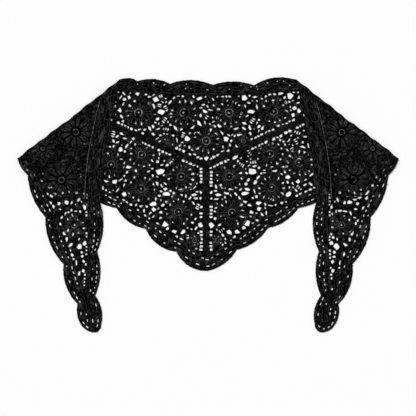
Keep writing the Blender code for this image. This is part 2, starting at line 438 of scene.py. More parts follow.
def shell(name, material, work, openings, wanted, raised=None, edge_line=None):
    """Closes triangles of close_work into a shell of two faces with rounded openings.

    It takes the openings that are wanted, by number. Its map is in mm: across and up the flat
    lace or, for a border, along its edge and in.
    """
    places, faces, owner, first = work
    used = np.unique(faces)
    index = np.full(len(places), -1)
    index[used] = np.arange(len(used))
    count = len(used)
    flat = [places[used], places[used]]
    heights = [np.full(count, face) for face in FACES]
    above = index[faces]
    polygons = above.tolist() + (above[:, ::-1] + count).tolist()
    total = 2 * count
    lips = set()
    ring_of = {}
    for place_index, number in enumerate(owner):
        if number >= 0 and number in wanted:
            ring_of.setdefault(number, []).append(place_index)
    for number, ring in ring_of.items():
        ring.sort(key=lambda k: first[k])
        edge = openings[number][0]
        sides = len(ring)
        flat.append(edge)
        heights.append(np.full(sides, (FACES[0] + FACES[1]) / 2))
        for k in range(sides):
            after = (k + 1) % sides
            here, there = index[ring[k]], index[ring[after]]
            hole_here, hole_there = total + k, total + after
            polygons.append([here, there, hole_there, hole_here])
            polygons.append([hole_here, hole_there, there + count, here + count])
            lips.add((min(here, there), max(here, there)))
        total += sides
    sides = np.concatenate([above[:, [0, 1]], above[:, [1, 2]], above[:, [2, 0]]])
    ordered = np.sort(sides, axis=1)
    _, inverse, counts = np.unique(ordered, axis=0, return_inverse=True, return_counts=True)
    for here, there in sides[counts[inverse.ravel()] == 1]:
        if (min(here, there), max(here, there)) not in lips:
            polygons.append([there, here, here + count, there + count])
    flat = np.concatenate(flat)
    heights = np.concatenate(heights)
    mesh = bpy.data.meshes.new(name)
    vertices = np.stack([flat.real, flat.imag, heights], 1) * MM
    mesh.from_pydata(vertices.tolist(), [], polygons)
    mapped = flat if edge_line is None else along_and_in(edge_line, flat)
    spots = np.stack([mapped.real, mapped.imag], 1)[values_of(mesh.loops, "vertex_index", np.int32)]
    mesh.uv_layers.new(name="UVMap").data.foreach_set("uv", spots.astype(np.float32).ravel())
    # How much the stitches stand up here, and so how much of the ground shows its dye and how much painted
    # shade. Under a flower's petals they lie deep, and the ground there is painted near black as the
    # petals' shade
    stand_and_shade_values = raised(flat) if raised else np.ones(len(flat))
    stand_and_shade = mesh.attributes.new("stand_and_shade", "FLOAT", "POINT")
    stand_and_shade.data.foreach_set("value", stand_and_shade_values.astype(np.float32))
    mesh.materials.append(material)
    piece = bpy.data.objects.new(name, mesh)
    bpy.context.scene.collection.objects.link(piece)
    return piece


def along_and_in(line, places):
    """For each place, the length along the line to its nearest point, and 1j times how far in."""
    parts = np.array_split(places, 20)
    nearest = [np.abs(part[:, None] - line[None, :]).argmin(axis=1) for part in parts]
    nearest = np.concatenate(nearest)
    return steps_along(line)[nearest] + 1j * np.abs(places - line[nearest])


# A Mix node's sockets for two colours and for their mixture
MIX_A, MIX_B, MIXED = 6, 7, 2


def cotton(name, pattern_of, colours, relief_mm=0.2, roughness=0.55, shine=0.04):
    """Mercerised cotton, dyed black, with the pattern that its work gives it.

    The colours are of its deep parts, which are painted shade, and of its dye at its darkest and its
    palest.
    """
    material = bpy.data.materials.new(name)
    material.use_nodes = True
    tree = material.node_tree
    shader = tree.nodes["Principled BSDF"]
    place = add_node(tree, "ShaderNodeTexCoord")
    pattern = pattern_of(tree, place)
    relief = {"Strength": 1.0, "Distance": relief_mm * MM}
    bump = add_node(tree, "ShaderNodeBump", relief, {"Height": pattern})
    painted_shade, darkest, palest = map(linear, colours)
    # The dye took a little less here and there, in patches some 15 mm across
    patch = {"Scale": 1 / (15 * MM), "Detail": 2.0}
    patches = add_node(tree, "ShaderNodeTexNoise", patch, {"Vector": place.outputs["Object"]})
    shades = {MIX_A: darkest, MIX_B: palest}
    dye = add_node(tree, "ShaderNodeMix", shades, {0: patches.outputs["Fac"]}, data_type="RGBA")
    # The deep parts of the pattern are painted near black: painted shade between the stitches and plies
    shown = {0: pattern, MIX_B: dye.outputs[MIXED]}
    depth = add_node(tree, "ShaderNodeMix", {MIX_A: painted_shade}, shown, data_type="RGBA")
    tree.links.new(depth.outputs[MIXED], shader.inputs["Base Color"])
    tree.links.new(bump.outputs["Normal"], shader.inputs["Normal"])
    shader.inputs["Roughness"].default_value = roughness
    shader.inputs["Specular IOR Level"].default_value = shine
    return material


def two_plies(tree, place):
    """A hard twist of two plies: bands at a slant along and round the thread, and fibres."""
    # One band every 0.9 mm along the thread, and one on the way round it
    band = 2 * math.pi / 10
    scale = {"Scale": (band / 0.9, band, 0)}
    twist = add_node(tree, "ShaderNodeMapping", scale, {"Vector": place.outputs["UV"]})
    waves = {"Scale": 1.0, "Distortion": 0.0}
    on_twist = {"Vector": twist.outputs["Vector"]}
    plies = add_node(tree, "ShaderNodeTexWave", waves, on_twist, bands_direction="DIAGONAL")
    fluff = {"Scale": 1 / (4.2 * MM), "Detail": 2.0}
    fibres = add_node(tree, "ShaderNodeTexNoise", fluff, {"Vector": place.outputs["Object"]})
    both = {2: plies.outputs["Fac"], 3: fibres.outputs["Fac"]}
    mixed = add_node(tree, "ShaderNodeMix", {"Factor": 0.8}, both, data_type="FLOAT")
    return stretched(tree, mixed.outputs[0], 0.5, 0.66)


def stitch_rows(tree, place):
    """The borders' stitches, drawn out along the rows: three times as long as they are wide."""
    scale = {"Scale": (0.4, 1.25, 1)}
    drawn_out = add_node(tree, "ShaderNodeMapping", scale, {"Vector": place.outputs["UV"]})
    return stitches(tree, drawn_out.outputs["Vector"])


def stitches(tree, where):
    """Stitches some 3 mm across, and the raised strands between patches of them 6 mm across."""
    strands = add_node(
        tree,
        "ShaderNodeTexVoronoi",
        {"Scale": 1 / 5.5, "Randomness": 1.0},
        {"Vector": where},
        voronoi_dimensions="2D",
        feature="DISTANCE_TO_EDGE",
    )
    across = {"Scale": 1 / 3.4, "Randomness": 1.0}
    knots = add_node(tree, "ShaderNodeTexVoronoi", across, {"Vector": where}, voronoi_dimensions="2D")
    # Some stitches stand up and show the dye, and most lie deep, where the colour is painted shade
    raised = stretched(tree, knots.outputs["Color"], 0.68, 1.0)
    lines = stretched(tree, strands.outputs["Distance"], 0.055, 0.01)
    both = add_node(tree, "ShaderNodeMath", (), {0: raised, 1: lines}, operation="MAXIMUM")
    stand_and_shade = add_node(tree, "ShaderNodeAttribute", attribute_name="stand_and_shade")
    by_stand = {0: both.outputs[0], 1: stand_and_shade.outputs["Fac"]}
    return add_node(tree, "ShaderNodeMath", (), by_stand, operation="MULTIPLY").outputs[0]


def stretched(tree, value, low, high):
    """The value again, as 0 to 1 between the low one and the high one."""
    ends = {"From Min": low, "From Max": high}
    return add_node(tree, "ShaderNodeMapRange", ends, {"Value": value}).outputs["Result"]


def add_node(tree, kind, values=(), links=(), **settings):
    """Adds a node with its settings, the values of its sockets, and the links into it."""
    node = tree.nodes.new(kind)
    for name, value in settings.items():
        setattr(node, name, value)
    for socket, value in dict(values).items():
        node.inputs[socket].default_value = value
    for socket, source in dict(links).items():
        tree.links.new(source, node.inputs[socket])
    return node


def linear(hex_colour):
    """An sRGB hex colour as linear red, green, blue and alpha."""
    parts = [int(hex_colour[i : i + 2], 16) / 255 for i in (1, 3, 5)]
    return [p / 12.92 if p <= 0.04045 else ((p + 0.055) / 1.055) ** 2.4 for p in parts] + [1.0]


def select(*pieces):
    """Selects these objects alone. The first of them is the active one."""
    bpy.ops.object.select_all(action="DESELECT")
    for piece in pieces:
        piece.select_set(True)
    bpy.context.view_layer.objects.active = pieces[0]


def worked(name, threads, material):
    """Lengths of thread as one mesh, made from bevelled curves, still flat."""
    curve = bpy.data.curves.new(name, "CURVE")
    curve.dimensions = "3D"
    curve.twist_mode = "Z_UP"
    curve.bevel_depth = MM
    curve.bevel_resolution = 1
    curve.use_fill_caps = True
    for points, radii, heights in threads:
        spline = curve.splines.new("POLY")
        spline.points.add(len(points) - 1)
        places = np.stack([points.real, points.imag, heights, np.full(len(points), 1 / MM)], 1)
        spline.points.foreach_set("co", (places * MM).ravel())
        spline.points.foreach_set("radius", radii)
    piece = bpy.data.objects.new(name, curve)
    bpy.context.scene.collection.objects.link(piece)
    select(piece)
    bpy.ops.object.convert(target="MESH")
    mesh = piece.data

    # The curve's own map counts from 0 to 1 along each thread, so it is turned into mm
    spots = values_of(mesh.uv_layers[0].data, "uv", np.float32, 2)
    sides = values_of(mesh.polygons, "loop_total", np.int32)
    starts = values_of(mesh.polygons, "loop_start", np.int32)
    walls = starts[sides == 4][:, None] + np.arange(4)
    along = spots[walls, 0]
    segment = np.maximum(along.max(axis=1) - along.min(axis=1), 1e-6)
    spots[walls, 0] = along / segment[:, None] * HALF_STITCH
    mesh.uv_layers[0].data.foreach_set("uv", spots.ravel())
    mesh.materials.clear()
    mesh.materials.append(material)
    return piece


def flat_area(outline):
    """The area inside a closed outline."""
    return abs((np.conj(outline) * np.roll(outline, -1)).imag.sum()) / 2


def strip_sheet(outline, row):
    """Works out a border's flat area and the length of a row along it, and does nothing with them."""
    area = float(flat_area(outline)) * MM**2
    length = float(steps_along(row)[-1]) * MM


def fold_up(name, parts):
    """Joins the parts of one piece of lace, and folds it as the scarf lies."""
    select(*parts)
    bpy.ops.object.join()
    piece = parts[0]
    piece.name = name
    mesh = piece.data
    mesh.name = name
    bpy.ops.object.mode_set(mode="EDIT")
    bpy.ops.mesh.select_all(action="SELECT")
    bpy.ops.mesh.remove_doubles(threshold=1e-7)
    bpy.ops.object.mode_set(mode="OBJECT")
    x, y, z = values_of(mesh.vertices, "co", np.float32, 3).astype(float).T / MM
    laid = lay(x + 1j * y, z)
    mesh.vertices.foreach_set("co", (np.stack(laid, 1) * MM).astype(np.float32).ravel())
    mesh.update()
    bpy.ops.object.shade_smooth_by_angle(angle=math.radians(62))
    return piece


def slot_shares(row, offset):
    """Where the slots are along a row, as shares of its length."""
    count = round(steps_along(row)[-1] / SLOT_PITCH)
    return (np.arange(count) + 0.5 + offset) / (count + 1)


def slots(row, shares, long, wide, chance):
    """Sites of slots along a row, each there by chance, at shares of the row's length."""
    length = steps_along(row)[-1]
    made = []
    for share in shares:
        mark = (share + dice.uniform(-0.0012, 0.0012)) * length
        here, there = at_marks(row, [mark - 1, mark + 1])
        if dice.random() < chance:
            half = long * dice.uniform(0.5, 1.2)
            slant = float(np.angle(there - here)) + dice.uniform(-0.12, 0.12)
            across = wide * dice.uniform(0.85, 1.3)
            made.append(Site((here + there) / 2, half, across, slant, 0.8, SQUARE))
    return made


def border(name, edge, seam, row, threads, sites):
    """A border's piece, and its outline: close work with these openings, under its threads."""
    openings = [pair for pair in openings_at(sites) if not near_bend(pair[1]).any()]
    start = evenly(row(SHELL_INSET), OUTLINE_STEP)
    outline = np.concatenate([start, evenly(seam, OUTLINE_STEP)[::-1]])
    work = close_work(outline, openings)
    every = range(len(openings))
    ground = shell("close_work", border_cotton, work, openings, every, edge_line=edge)
    return fold_up(name, [worked("threads", threads, thread_cotton), ground]), outline


# The top line of the scarf, flat, from the left tip to the right tip, and its seam
end_edge = unfolded(scallops(END_INNER_EDGE)[::-1])
top_edge = np.concatenate([mirrored(end_edge), scallops(TOP_EDGE)[1:-1], end_edge])
top_edge = evenly(top_edge, LINE_STEP)
seam_ends = (TOP_SEAM_END.real, TOP_SEAM_END.imag, TOP_SEAM_SAG), (-TOP_SEAM_END.real, TOP_SEAM_END.imag, 0)
back_seam = evenly(scallops(seam_ends)[::-1], 12)
on_fold = FOLD_TOP + FOLD_ALONG * SEAM_ON_FOLD + FOLD_INWARD * BEND_MIDDLE
end_seam = np.concatenate([[on_fold], unfolded(END_INNER_SEAM), unfolded(TIP_MIDDLE[:1])])
top_seam = np.concatenate([mirrored(end_seam), back_seam, end_seam])
top_seam = evenly(eased(top_seam), LINE_STEP)
top_row = rows_between(top_edge, seam_feet(top_edge, top_seam), TOP_DEPTH)
top_threads = row_threads(top_row, TOP_ROWS, 0.5)

# Low on the folded ends two rows of slots run along the border. Above, it is nearly closed
top_slots = []
for inset, offset in TOP_SLOTS:
    row = top_row(inset)
    shares = slot_shares(row, offset)
    places = at_marks(row, shares * steps_along(row)[-1])
    folded_over = from_fold(places).imag > 0
    low_down = folded_over & (lay(places, CLOTH / 2)[1] < 12)
    top_slots += slots(row, shares[low_down], long=2.0, wide=0.44, chance=0.7)
    top_slots += slots(row, shares[~folded_over], long=1.1, wide=0.6, chance=0.12)
# A hard twisted thread, with a slight gloss
thread_cotton = cotton("black_mercerised_crochet_cotton", two_plies, (BLACK_PAINTED_SHADE, BLACK, BLACK_WORN))
# Close work in rows, with deep gaps between the stitches painted near black as shade, and no gloss
IN_RELIEF = {"relief_mm": 0.8, "roughness": 0.8, "shine": 0.01}
border_cotton = cotton(
    "black_crochet_in_rows", stitch_rows, ("#010101", "#3c3c3e", "#4c4c4e"), **IN_RELIEF
)
top_border, top_outline = border("top_edging", top_edge, top_seam, top_row, top_threads, top_slots)
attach(top_border, "root")
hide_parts("top_border", "left_end_inner_border", "right_end_inner_border")
strip_sheet(top_outline, top_row(TOP_DEPTH / 2))

# ---------------------------------------------------------------------------------------
# Hem border. The two slanting sides and the lobes at the point and at both tips, worked
# in the same cotton as the top, but with two rows of open slots along it.
# ---------------------------------------------------------------------------------------
# The hem from the outer corner to the point: first what the folded ends hide, then the
# right-hand side, and the left-hand one as if it were the right. It hangs a little lower
HIDDEN_HEM = (
    (304.8, 75.0, 5.0),
    (250.7, 48.4, 6.0),
    (197.3, 21.8, 5.0),
)
RIGHT_HEM = HIDDEN_HEM + (
    (144.0, -4.8, 6.4),
    (96.0, -36.5, 6.4),
    (45.6, -71.7, 6.2),
    (0.0, -105.3, 0.0),
)
LEFT_HEM = HIDDEN_HEM + (
    (146.0, -4.8, 7.2),
    (99.2, -38.0, 9.2),
    (50.4, -74.4, 9.9),
    (0.0, -105.3, 0.0),
)
# The outer edge of the folded end, as it lies, from the outer corner round the tip
END_OUTER_EDGE = (
    (304.8, 75.0, 2.5),
    (288.0, 48.0, 6.9),
    (260.0, -19.2, 8.8),
    (230.9, -94.4, 8.3),
    (208.3, -158.4, 3.8),
    (203.0, -191.6, 3.5),
    (180.0, -203.9, 3.0),
    (170.5, -190.0, 5.5),
    (180.8, -144.8, 0.0),
)
# The rows where the lobe at the tip starts and where it turns
TIP_ROW = 4
TIP_END_ROW = 6
RIGHT_HEM_SEAM = (0 - 82.0j, 37.5 - 58.0j, 86.0 - 22.5j, 135.0 + 8.5j, 178.0 + 29.0j)
LEFT_HEM_SEAM = (0 - 82.0j, 39.0 - 61.0j, 90.0 - 27.5j, 137.0 + 6.5j, 178.0 + 29.0j)
HEM_SEAM_ON_FOLD = 188.0
END_OUTER_SEAM = (246.0 - 13.0j, 217.0 - 89.0j, 199.0 - 138.0j)
HEM_DEPTH = 21.0
HEM_ROWS = (0.9, 4.0, 9.7, 13.4, 19.0)
HEM_SLOTS = ((6.9, 0.0), (16.2, 0.5))

# The hem line, flat, from the right tip to the middle of the point, in three stretches:
# down one side of the tip's lobe, up its other side, and on to the point
lobe_down, lobe_up = (
    evenly(unfolded(scallops(rows)[::-1]), LINE_STEP)
    for rows in (END_OUTER_EDGE[TIP_END_ROW:], END_OUTER_EDGE[TIP_ROW : TIP_END_ROW + 1])
)
end_edge = unfolded(scallops(END_OUTER_EDGE[: TIP_ROW + 1])[::-1])
tip_middle = evenly(unfolded(TIP_MIDDLE), LINE_STEP)
lobe_feet = [seam_feet(lobe_down, tip_middle), seam_feet(lobe_up, tip_middle[::-1])]
on_fold = FOLD_TOP + FOLD_ALONG * HEM_SEAM_ON_FOLD + FOLD_INWARD * BEND_MIDDLE
end_seam = np.concatenate([unfolded(TIP_MIDDLE[:1]), unfolded(END_OUTER_SEAM[::-1])])


def hem_side(edge_rows, seam_places):
    """One side of the hem, from its tip to the point: its edge, feet and seam."""
    to_point = evenly(np.concatenate([end_edge, scallops(edge_rows)[1:]]), LINE_STEP)
    seam = np.concatenate([end_seam, [on_fold], np.array(seam_places[:0:-1])])
    seam = evenly(np.concatenate([eased(seam), [seam_places[0]]]), LINE_STEP)
    edge = np.concatenate([lobe_down, lobe_up, to_point])
    return edge, np.concatenate(lobe_feet + [seam_feet(to_point, seam)]), seam


right_side = hem_side(RIGHT_HEM, RIGHT_HEM_SEAM)
left_side = hem_side(LEFT_HEM, LEFT_HEM_SEAM)
hem_edge, hem_feet, hem_seam = (
    np.concatenate([right[:-1], mirrored(left)]) for right, left in zip(right_side, left_side)
)
hem_row = rows_between(hem_edge, hem_feet, HEM_DEPTH)
hem_threads = row_threads(hem_row, HEM_ROWS, 0.3, 0.6)
hem_slots = []
for inset, offset in HEM_SLOTS:
    row = hem_row(inset)
    hem_slots += slots(row, slot_shares(row, offset), long=2.4, wide=0.38, chance=0.62)
hem_border, hem_outline = border("hem_edging", hem_edge, hem_seam, hem_row, hem_threads, hem_slots)
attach(hem_border, "root")
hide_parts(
    "hem_point",
    "left_hem_border",
    "right_hem_border",
    "left_end_outer_border",
    "right_end_outer_border",
    "left_end_tip",
    "right_end_tip",
)
strip_sheet(hem_outline, hem_row(HEM_DEPTH / 2))

# ---------------------------------------------------------------------------------------
# Fork tape. Two hard cords side by side, sewn in as a Y: a spine up the middle of the
# back, and an arm from its head to each shoulder.
# ---------------------------------------------------------------------------------------
TAPE = 8.0
FORK = -3.2 + 63.1j
SPINE_FOOT = -3.2 - 81.0j
LEFT_ARM = complex(-160.0, 160.0 * math.tan(math.radians(23.4)))
RIGHT_ARM = complex(164.0, 164.0 * math.tan(math.radians(25.2)))
# The cords, of one thread each: how far from the tape's middle, and how thick
CORDS = ((1.4, 0.8), (3.2, 0.7))
# Half the width of the tape's woven ground, under the cords
TAPE_HOLD = TAPE / 2 - 0.4

left_up = -1j * LEFT_ARM / abs(LEFT_ARM)
right_up = 1j * RIGHT_ARM / abs(RIGHT_ARM)


def tape_lines(inset):
    """Lines at a distance from the tape's middle: over both arms, then down its two sides."""

    def corner(one, other):
        """Where the lines on these two sides of the fork meet."""
        return FORK + inset * (one + other) / (1 + (one * other.conjugate()).real)

    left_end = FORK + LEFT_ARM
    right_end = FORK + RIGHT_ARM
    over = [left_end + inset * left_up, corner(left_up, right_up), right_end + inset * right_up]
    right = [right_end - inset * right_up, corner(-right_up, 1 + 0j), SPINE_FOOT + inset]
    left = [SPINE_FOOT - inset, corner(-1 + 0j, -left_up), left_end - inset * left_up]
    return over, right, left


def close_stitches(tree, place):
    """The fields' stitches, which run no way in particular."""
    return stitches(tree, place.outputs["UV"])


def smooth(places):
    """The tape's ground is woven flat, so its stitches hardly stand up anywhere, and most of it takes the
    deep parts' painted shade.
    """
    return np.full(len(places), 0.2)


tape_threads = []
for aside, radius in CORDS:
    tape_threads += [thread(line, radius) for line in tape_lines(aside)]
# A cord has deeper twist than the lace's thread
tape_cotton = cotton(
    "black_cotton_cord", two_plies, (BLACK_PAINTED_SHADE, "#3a3a3b", "#48484a"), relief_mm=0.25
)
# Close work whose stitches run no way in particular, its deep gaps painted near black as shade
close_cotton = cotton(
    "black_close_crochet", close_stitches, ("#010101", "#38383a", "#47474a"), **IN_RELIEF
)
tape_edges = [evenly(np.array(line), 3.0) for line in tape_lines(TAPE_HOLD)]
tape_outline = np.concatenate(tape_edges)
tape_work = close_work(tape_outline, [])
fork_tape = fold_up("fork_tape", [shell("tape_ground", close_cotton, tape_work, [], [], smooth)])
fork_tape_cords = fold_up("fork_tape_cords", [worked("cords", tape_threads, tape_cotton)])
for piece in (fork_tape, fork_tape_cords):
    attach(piece, "root")
    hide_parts("spine_tape", "left_arm_tape", "right_arm_tape")
# The tape is some 7 mm wide
float(flat_area(tape_outline)) * MM**2

# ---------------------------------------------------------------------------------------
# Lace fields. Flowers crocheted one by one, each a round of petals inside a close ring,
# joined by an open ground of short bars. The ground is pieced out between the borders
# and the tape, over the back, the corners under the folds and the folded ends.
# ---------------------------------------------------------------------------------------
# Flowers on the back: x, y, petals, and size against a full flower
BACK_FLOWERS = (
    (105.0, 149.6, 12, 1.0),
    (34.0, 147.5, 12, 1.0),
    (-39.0, 147.5, 12, 1.0),
    (-111.2, 147.4, 12, 1.0),
    (-2.8, 102.5, 12, 1.0),
    (57.0, 102.0, 8, 0.42),
    (-63.0, 101.0, 8, 0.42),
    (99.0, 82.0, 14, 1.0),
    (-106.0, 80.5, 14, 1.0),
    (34.3, 45.5, 14, 1.0),
    (-43.0, 45.5, 14, 1.0),
    (101.6, 27.5, 14, 1.0),
    (-106.6, 26.2, 14, 1.0),
    (38.5, -12.5, 14, 1.0),
    (-47.5, -11.0, 14, 1.0),
    (146.0, 67.4, 14, 1.0),
    (-155.0, 64.6, 14, 1.0),
    (14.0, -57.0, 8, 0.4),
    (-21.5, -57.0, 8, 0.4),
    (188.0, 124.0, 12, 1.0),
    (-188.0, 124.0, 12, 1.0),
    (222.0, 80.0, 12, 1.0),
    (-225.0, 80.0, 12, 1.0),
)
# Flowers on the right-hand folded end, as it lies, and on the left one as if it were
# the right one
RIGHT_END_FLOWERS = (
    (213.8, 116.0, 12, 1.15),
    (232.3, 41.0, 12, 1.15),
    (213.9, -32.0, 9, 0.8),
    (262.9, 90.2, 10, 0.8),
)
LEFT_END_FLOWERS = (
    (211.2, 116.8, 12, 1.15),
    (233.9, 40.3, 12, 1.15),
    (213.9, -32.0, 9, 0.8),
    (264.0, 90.2, 10, 0.8),
)
# A full flower, from its centre out: the round at its heart, the ring round its eye, its
# petals, the two rows of its outer ring, and its edge
HEART = 3.2
EYE = 6.0
PETAL_BASE = 7.8
PETAL_TIP = 21.2
RING_ROWS = (22.6, 24.4)
FLOWER_OUT = 25.0
PETAL_THREAD = 0.95
# Flowers smaller than this have a plainer middle
SMALL = 0.8
# The most room round a flower that is looked at
MOST_ROOM = 60.0
# The widest openings, where three flowers meet. First those in pairs, one on each side of
# the spine: distance from it, y, half length, half width, and slant on the right
WIDE_PAIRS = (
    (71.5, 148.5, 6.0, 3.9, 0),
    (57.0, 145.8, 3.4, 2.3, -45),
    (85.0, 125.3, 3.6, 2.2, 60),
    (90.5, 122.7, 4.2, 2.1, 60),
    (31.0, 106.0, 4.4, 4.3, 0),
    (53.3, 111.5, 4.6, 2.3, -12),
    (17.8, 114.8, 3.6, 2.5, 0),
    (127.5, 115.2, 3.3, 2.9, 0),
    (120.0, 111.5, 3.3, 2.4, 15),
    (108.3, 105.3, 3.8, 2.5, 60),
    (137.0, 88.0, 4.3, 2.9, 90),
    (130.5, 67.8, 3.4, 2.9, 10),
    (47.5, 76.8, 5.0, 2.1, 38),
    (126.0, 61.3, 7.2, 2.2, 0),
    (74.0, 54.0, 6.8, 4.2, -10),
    (79.0, 35.5, 4.4, 2.3, 50),
    (146.5, 38.0, 4.0, 3.5, 0),
    (66.0, 25.5, 4.5, 2.7, 0),
    (63.5, 18.5, 7.3, 3.0, 3),
    (39.5, 25.0, 5.0, 2.5, 0),
    (25.2, 26.3, 2.9, 2.5, 60),
    (20.0, 15.8, 5.2, 2.2, -8),
    (131.0, 17.5, 4.9, 3.6, 20),
    (107.0, 8.7, 3.1, 2.4, -20),
    (62.0, 4.5, 3.7, 2.4, 20),
    (69.7, 0.0, 3.1, 2.4, 0),
    (84.5, 2.8, 5.5, 3.4, 0),
    (84.0, -6.3, 4.0, 4.0, 0),
    (71.7, -11.3, 3.3, 2.3, 0),
    (57.5, -18.8, 6.3, 1.5, -13),
    (65.5, -29.5, 6.1, 4.9, 20),
    (8.5, 20.5, 3.0, 2.0, 70),
    (14.8, 22.0, 3.0, 1.3, 0),
    (8.8, 11.0, 2.4, 1.6, 80),
    (17.0, 10.5, 4.5, 1.4, 0),
    (9.3, -31.0, 4.4, 4.6, 0),
    (61.2, -37.3, 3.0, 2.6, -40),
    (50.5, -41.8, 3.9, 3.2, -10),
    (36.5, -43.0, 4.6, 3.0, -50),
)
# Then those that stand alone: x, y, half length, half width, slant
WIDE_ALONE = (
    (-134.0, 169.0, 2.9, 2.3, 0),
    (-126.0, 172.5, 3.5, 3.0, -20),
    (-113.0, 178.0, 3.8, 2.8, 0),
    (-95.0, 163.0, 3.3, 2.2, -60),
    (-83.0, 169.0, 5.2, 4.6, 90),
    (-25.5, 165.5, 3.9, 2.4, 90),
    (-14.0, 170.5, 4.2, 3.2, -20),
    (45.5, 163.5, 2.9, 2.8, 0),
    (58.0, 172.0, 5.6, 4.6, 0),
    (74.5, 172.5, 4.0, 1.7, 10),
    (92.0, 172.5, 4.0, 1.8, 70),
    (116.0, 178.5, 5.4, 2.2, 5),
    (131.5, 174.5, 5.0, 4.8, 0),
    (116.0, 168.0, 3.0, 2.2, 90),
    (123.0, 165.0, 4.6, 1.9, -35),
    (-141.0, 152.0, 3.6, 3.2, 60),
    (-81.0, 138.0, 3.6, 2.3, 60),
    (-12.0, 144.0, 3.4, 2.0, 60),
    (-5.0, 150.0, 4.8, 2.4, -25),
    (14.0, 139.5, 3.6, 2.2, -10),
    (78.5, 157.0, 4.6, 1.5, 90),
    (126.0, 149.5, 4.0, 2.2, -30),
    (138.5, 155.0, 3.8, 3.2, -20),
    (145.5, 150.5, 3.5, 3.4, 0),
    (136.0, 144.0, 3.7, 2.6, 70),
    (-97.0, 109.0, 5.6, 2.0, -32),
    (-52.5, 124.0, 5.0, 1.8, -55),
    (-14.5, 130.5, 6.0, 2.6, -60),
    (18.0, 127.0, 4.2, 2.4, -40),
    (58.0, 131.5, 5.2, 2.2, -25),
    (111.0, 127.5, 4.6, 1.9, 0),
    (39.0, 89.5, 4.6, 1.9, -20),
    (-3.2, 75.2, 4.4, 3.8, 0),
    (147.0, 76.0, 4.6, 2.6, 10),
    (127.5, 44.5, 4.0, 3.5, 0),
)
# And those on the folded ends, as the right-hand end lies
WIDE_ON_ENDS = (
    (254.5, 27.0, 3.2, 1.8, 80),
    (210.5, 20.0, 2.5, 2.4, 0),
    (245.0, 17.5, 3.0, 2.4, 0),
    (223.8, 14.7, 3.0, 1.4, 5),
    (236.4, 14.3, 3.0, 1.2, 25),
    (207.0, 8.8, 4.0, 2.0, -65),
    (202.6, 6.0, 2.6, 1.4, 60),
    (226.0, 4.5, 4.0, 3.3, 30),
    (218.3, 3.5, 3.2, 1.9, 90),
    (238.7, 2.0, 2.8, 2.4, 60),
    (197.5, -3.0, 4.8, 2.2, 65),
    (236.5, -6.5, 3.0, 1.4, 0),
    (204.6, -10.0, 3.0, 1.2, 70),
    (228.0, -13.0, 3.6, 1.3, 110),
    (193.5, -27.0, 4.2, 2.0, 85),
    (229.5, -44.5, 4.4, 3.6, 90),
    (226.3, -55.0, 3.6, 1.8, 90),
    (206.5, -54.5, 2.4, 1.4, 110),
    (197.3, -61.0, 3.6, 3.0, -50),
    (219.5, -63.5, 4.4, 2.2, -40),
    (205.5, -66.5, 5.0, 4.2, -45),
    (202.3, -75.5, 2.8, 2.2, -30),
    (201.3, -82.3, 2.8, 2.2, 0),
    (199.2, -90.5, 3.0, 2.2, 80),
    (210.8, -92.0, 4.4, 1.1, 85),
    (199.3, -105.0, 3.4, 2.5, 80),
    (206.5, -109.5, 4.6, 2.4, -50),
    (203.8, -123.5, 4.0, 2.3, 100),
)
# The stretches of the spine, from y to y, that have a ladder of openings on each side
SPINE_STRETCHES = ((58.0, 31.0), (-3.0, -24.0), (-42.0, -72.0))
# Ladders of openings along the tape and the seams: how far clear of the line, how far from
# one to the next, half lengths, half widths, chance of each, how far astray, and shape
SPINE_LADDER = (TAPE / 2 + 0.8, 5.7, (1.4, 1.9), (1.7, 2.7), 0.95, 0.4, SQUARE)
ARM_LADDER = (TAPE / 2, 6.0, (2.0, 3.4), (1.4, 2.4), 0.88, 1.0, CROOKED)
TOP_LADDER = (0.6, 6.4, (1.6, 3.0), (1.0, 1.8), 0.25, 1.6, CROOKED)
END_LADDER = (0.4, 5.6, (1.2, 1.8), (0.9, 1.4), 0.85, 0.5, SQUARE)
HEM_LADDER = (0.4, 7.5, (1.8, 3.4), (1.2, 2.0), 0.5, 1.2, CROOKED)
# Places are tried at random over the rest of the ground. The first that are free get sheaves
# of narrow gaps, and further ones get openings: from which to which, how far apart, half
# lengths, half widths, and chance of each
TRIES = 60000
SHEAVES = 50
SCATTERED = (
    (400, 2000, 2.5, (2.4, 4.2), (1.0, 1.8), 0.6),
    (2000, 4500, 2.8, (1.6, 2.8), (0.9, 1.5), 0.3),
    (4500, None, 2.9, (1.0, 1.7), (0.7, 1.0), 0.2),
)
# The arcs round a flower: half lengths to choose from
ARC_LENGTHS = (1.7, 2.0, 2.4, 3.4, 4.8)
WIDE_BAR = 0.9

flowers = [(complex(x, y), petals, size) for x, y, petals, size in BACK_FLOWERS]
for x, y, petals, size in RIGHT_END_FLOWERS:
    flowers.append((complex(unfolded(x + 1j * y)), petals, size))
for x, y, petals, size in LEFT_END_FLOWERS:
    flat = complex(unfolded(x + 1j * y))
    flowers.append((complex(-flat.real, flat.imag), petals, size))

# The walls that the ground is worked up to: the seams, and both edges of the tape
TAPE_ENDS = (FORK + LEFT_ARM, FORK + RIGHT_ARM, SPINE_FOOT)
tape_middles = [evenly(np.array([FORK, end]), LINE_STEP) for end in TAPE_ENDS]
field = evenly(np.concatenate([top_seam, hem_seam]), OUTLINE_STEP)


def from_tape(places):
    """Distance to the nearest middle line of the tape."""
    nearest = np.full(len(places), 1e9)
    for end in TAPE_ENDS:
        share = ((places - FORK) / (end - FORK)).real.clip(0, 1)
        nearest = np.minimum(nearest, np.abs(places - FORK - (end - FORK) * share))
    return nearest


# Points on a full turn, one each 5 degrees
FINE_TURN = 73


